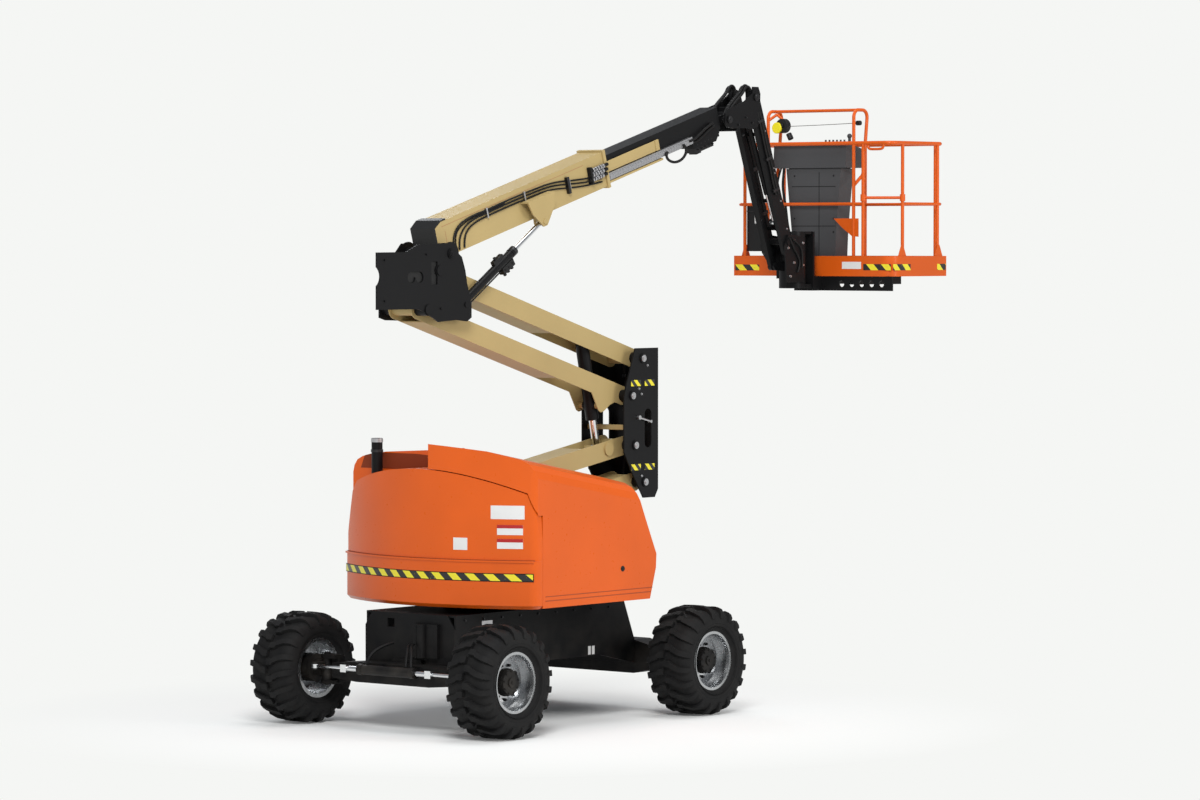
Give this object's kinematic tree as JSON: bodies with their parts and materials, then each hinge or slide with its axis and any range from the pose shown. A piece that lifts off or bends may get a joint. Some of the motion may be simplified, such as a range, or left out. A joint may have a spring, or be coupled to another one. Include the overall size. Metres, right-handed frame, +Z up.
{
  "type": "articulating boom lift",
  "caption": "Wheeled aerial work platform with a two-stage folding tower, telescoping main boom, jib and railed platform.",
  "frame": {"origin": "on the ground under the swing axis", "axes": "+X the way the boom points, +Y to its left, +Z up"},
  "size_m": [6.34, 2.34, 4.854],
  "materials": {
    "orange_paint": "gloss",
    "tan_paint": "satin",
    "black_paint": "satin",
    "frame_grey": "satin",
    "rubber": "matte",
    "rim_silver": "satin",
    "chrome": "polished",
    "grey_plastic": "matte",
    "black_plastic": "matte",
    "steel": "satin"
  },
  "bodies": {
    "chassis": {"chassis_frame": "frame_grey", "swing_bearing": "frame_grey", "steer_axle": "frame_grey", "drive_axle": "frame_grey", "steer_cylinder": "black_paint"},
    "steer_rod": {"steer_rod": "chrome"},
    "knuckle_left": {"knuckle_left": "black_paint"},
    "knuckle_right": {"knuckle_right": "black_paint"},
    "wheel_steer_left": {"tyre_steer_left": "rubber", "rim_steer_left": "rim_silver"},
    "wheel_steer_right": {"tyre_steer_right": "rubber", "rim_steer_right": "rim_silver"},
    "wheel_drive_left": {"tyre_drive_left": "rubber", "rim_drive_left": "rim_silver"},
    "wheel_drive_right": {"tyre_drive_right": "rubber", "rim_drive_right": "rim_silver"},
    "turntable": {"turntable_frame": "frame_grey", "counterweight": "orange_paint", "tail_cover": "orange_paint", "engine_block": "black_paint", "hydraulic_tank": "black_paint", "exhaust_stack": "black_paint"},
    "hood_left": {"hood_left": "orange_paint"},
    "hood_right": {"hood_right": "orange_paint"},
    "lower_boom": {"lower_boom": "tan_paint"},
    "lower_link": {"lower_link": "tan_paint"},
    "centre_upright": {"centre_upright": "black_paint"},
    "upper_boom": {"upper_boom": "tan_paint"},
    "upper_link": {"upper_link": "tan_paint"},
    "upper_upright": {"upper_upright": "black_paint"},
    "tower_cylinder_barrel": {"tower_cylinder_barrel": "black_paint"},
    "tower_cylinder_rod": {"tower_cylinder_rod": "chrome"},
    "main_boom": {"main_boom": "tan_paint", "boom_end_cap": "black_plastic", "boom_collar": "black_paint"},
    "lift_cylinder_barrel": {"lift_cylinder_barrel": "black_paint"},
    "lift_cylinder_rod": {"lift_cylinder_rod": "chrome"},
    "level_cylinder_barrel": {"level_cylinder_barrel": "black_paint"},
    "level_cylinder_rod": {"level_cylinder_rod": "chrome"},
    "fly_boom": {"fly_boom": "black_paint", "hose_carrier": "steel"},
    "jib_head": {"jib_head": "black_paint"},
    "jib": {"jib": "black_paint"},
    "jib_link": {"jib_link": "black_paint"},
    "jib_cylinder_barrel": {"jib_cylinder_barrel": "black_paint"},
    "jib_cylinder_rod": {"jib_cylinder_rod": "chrome"},
    "jib_foot": {"jib_foot": "black_paint"},
    "platform": {"platform_support": "black_paint", "platform_floor": "orange_paint", "platform_rails": "orange_paint", "control_console": "grey_plastic", "control_box": "grey_plastic", "document_box": "black_plastic"},
    "entry_bar": {"entry_bar": "orange_paint"}
  },
  "joints": [
    {"name": "steering_left", "type": "hinge", "parent": "chassis", "child": "knuckle_left", "pos_m": [-1.164, 0.72, 0.417], "axis": [0, 0, 1], "range_deg": [-40, 40]},
    {"name": "steering_right", "type": "hinge", "parent": "chassis", "child": "knuckle_right", "pos_m": [-1.164, -0.72, 0.417], "axis": [0, 0, 1], "range_deg": [-40.5, 40.5]},
    {"name": "steer_rod_slide", "type": "slide", "parent": "chassis", "child": "steer_rod", "axis": [0, 1, 0], "range_m": [-0.0985, 0.0985]},
    {"name": "wheel_spin_steer_left", "type": "hinge", "parent": "knuckle_left", "child": "wheel_steer_left", "pos_m": [-1.164, 0.97, 0.417], "axis": [0, 1, 0], "continuous": true},
    {"name": "wheel_spin_steer_right", "type": "hinge", "parent": "knuckle_right", "child": "wheel_steer_right", "pos_m": [-1.164, -0.97, 0.417], "axis": [0, 1, 0], "continuous": true},
    {"name": "wheel_spin_drive_left", "type": "hinge", "parent": "chassis", "child": "wheel_drive_left", "pos_m": [1.164, 0.97, 0.417], "axis": [0, 1, 0], "continuous": true},
    {"name": "wheel_spin_drive_right", "type": "hinge", "parent": "chassis", "child": "wheel_drive_right", "pos_m": [1.164, -0.97, 0.417], "axis": [0, 1, 0], "continuous": true},
    {"name": "swing", "type": "hinge", "parent": "chassis", "child": "turntable", "pos_m": [0, 0, 0.911], "axis": [0, 0, 1], "range_deg": [-177.5, 177.5]},
    {"name": "hood_left_hinge", "type": "hinge", "parent": "turntable", "child": "hood_left", "pos_m": [-0.6, 0.128, 2.06], "axis": [1, 0, 0], "range_deg": [0, 60]},
    {"name": "hood_right_hinge", "type": "hinge", "parent": "turntable", "child": "hood_right", "pos_m": [-0.6, -0.128, 2.06], "axis": [-1, 0, 0], "range_deg": [0, 60]},
    {"name": "tower_lift", "type": "hinge", "parent": "turntable", "child": "lower_boom", "pos_m": [-0.54953, 0, 1.71246], "axis": [0, -1, 0], "range_deg": [-11.5, 60]},
    {"name": "lower_link_pivot", "type": "hinge", "parent": "turntable", "child": "lower_link", "pos_m": [-0.43053, 0, 1.42246], "axis": [0, -1, 0], "range_deg": [-12, 60.5]},
    {"name": "centre_upright_level", "type": "hinge", "parent": "lower_boom", "child": "centre_upright", "pos_m": [1.354, 0, 2.031], "axis": [0, 1, 0], "range_deg": [-12, 60.5]},
    {"name": "upper_boom_pivot", "type": "hinge", "parent": "centre_upright", "child": "upper_boom", "pos_m": [1.316, 0, 2.417], "axis": [0, 1, 0], "range_deg": [-12, 60.5]},
    {"name": "upper_link_pivot", "type": "hinge", "parent": "centre_upright", "child": "upper_link", "pos_m": [1.446, 0, 2.705], "axis": [0, 1, 0], "range_deg": [-12, 60.5]},
    {"name": "upper_upright_level", "type": "hinge", "parent": "upper_boom", "child": "upper_upright", "pos_m": [-1.07993, 0, 3.11308], "axis": [0, -1, 0], "range_deg": [-12, 60.5]},
    {"name": "tower_cylinder_pivot", "type": "hinge", "parent": "upper_boom", "child": "tower_cylinder_barrel", "pos_m": [1.06568, 0, 2.34394], "axis": [0, -1, 0], "range_deg": [-12.5, 60]},
    {"name": "tower_cylinder_slide", "type": "slide", "parent": "tower_cylinder_barrel", "child": "tower_cylinder_rod", "axis": [0.2152, 0, -0.9766], "range_m": [-0.09, 0.455]},
    {"name": "main_lift", "type": "hinge", "parent": "upper_upright", "child": "main_boom", "pos_m": [-0.824, 0, 3.525], "axis": [0, 1, 0], "range_deg": [-58.6, 26]},
    {"name": "lift_cylinder_pivot", "type": "hinge", "parent": "upper_upright", "child": "lift_cylinder_barrel", "pos_m": [-0.651, -0.16, 3.145], "axis": [0, 1, 0], "range_deg": [-49.5, 22]},
    {"name": "lift_cylinder_slide", "type": "slide", "parent": "lift_cylinder_barrel", "child": "lift_cylinder_rod", "axis": [-0.8337, 0, -0.5522], "range_m": [-0.36, 0.16]},
    {"name": "level_cylinder_pivot", "type": "hinge", "parent": "upper_upright", "child": "level_cylinder_barrel", "pos_m": [-0.7, 0.16, 3.425], "axis": [0, 1, 0], "range_deg": [-60.5, 27]},
    {"name": "level_cylinder_slide", "type": "slide", "parent": "level_cylinder_barrel", "child": "level_cylinder_rod", "axis": [-0.93, 0, -0.3675], "range_m": [-0.145, 0.065]},
    {"name": "telescope", "type": "slide", "parent": "main_boom", "child": "fly_boom", "axis": [0.9613, 0, 0.2756], "range_m": [0, 1.55]},
    {"name": "head_level", "type": "hinge", "parent": "fly_boom", "child": "jib_head", "pos_m": [2.66, 0, 4.585], "axis": [0, -1, 0], "range_deg": [-59, 26.5]},
    {"name": "jib_lift", "type": "hinge", "parent": "jib_head", "child": "jib", "pos_m": [3.01, 0, 4.77], "axis": [0, -1, 0], "range_deg": [0, 144]},
    {"name": "jib_link_pivot", "type": "hinge", "parent": "jib_head", "child": "jib_link", "pos_m": [3.002, 0, 4.57], "axis": [0, -1, 0], "range_deg": [0, 144.5]},
    {"name": "jib_cylinder_pivot", "type": "hinge", "parent": "jib_head", "child": "jib_cylinder_barrel", "pos_m": [3.002, -0.03, 4.64], "axis": [0, -1, 0], "range_deg": [0, 144]},
    {"name": "jib_cylinder_slide", "type": "slide", "parent": "jib_cylinder_barrel", "child": "jib_cylinder_rod", "axis": [0.3891, 0, -0.9212], "range_m": [0, 0.248]},
    {"name": "jib_foot_level", "type": "hinge", "parent": "jib", "child": "jib_foot", "pos_m": [3.44628, 0, 3.60929], "axis": [0, 1, 0], "range_deg": [0, 144.5]},
    {"name": "platform_rotate", "type": "hinge", "parent": "jib_foot", "child": "platform", "pos_m": [3.66228, 0, 3.3], "axis": [0, 0, 1], "range_deg": [-90, 90]},
    {"name": "entry_bar_slide", "type": "slide", "parent": "platform", "child": "entry_bar", "axis": [0, 0, 1], "range_m": [0, 0.36]}
  ],
  "couplings": [
    {"joint": "steering_right", "follows": "steering_left", "ratio": 1},
    {"joint": "steer_rod_slide", "follows": "steering_left", "m_per_rad": -0.138},
    {"joint": "lower_link_pivot", "follows": "tower_lift", "ratio": 1},
    {"joint": "centre_upright_level", "follows": "tower_lift", "ratio": 1},
    {"joint": "upper_boom_pivot", "follows": "tower_lift", "ratio": 1},
    {"joint": "upper_link_pivot", "follows": "tower_lift", "ratio": 1},
    {"joint": "upper_upright_level", "follows": "tower_lift", "ratio": 1},
    {"joint": "tower_cylinder_pivot", "follows": "tower_lift", "ratio": 0.97},
    {"joint": "tower_cylinder_slide", "follows": "tower_lift", "m_per_rad": 0.428},
    {"joint": "lift_cylinder_pivot", "follows": "main_lift", "ratio": 0.83},
    {"joint": "lift_cylinder_slide", "follows": "main_lift", "m_per_rad": 0.35},
    {"joint": "level_cylinder_pivot", "follows": "main_lift", "ratio": 1.02},
    {"joint": "level_cylinder_slide", "follows": "main_lift", "m_per_rad": 0.14},
    {"joint": "head_level", "follows": "main_lift", "ratio": 1},
    {"joint": "jib_link_pivot", "follows": "jib_lift", "ratio": 1},
    {"joint": "jib_cylinder_pivot", "follows": "jib_lift", "ratio": 0.995},
    {"joint": "jib_cylinder_slide", "follows": "jib_lift", "m_per_rad": 0.0977},
    {"joint": "jib_foot_level", "follows": "jib_lift", "ratio": 1}
  ]
}
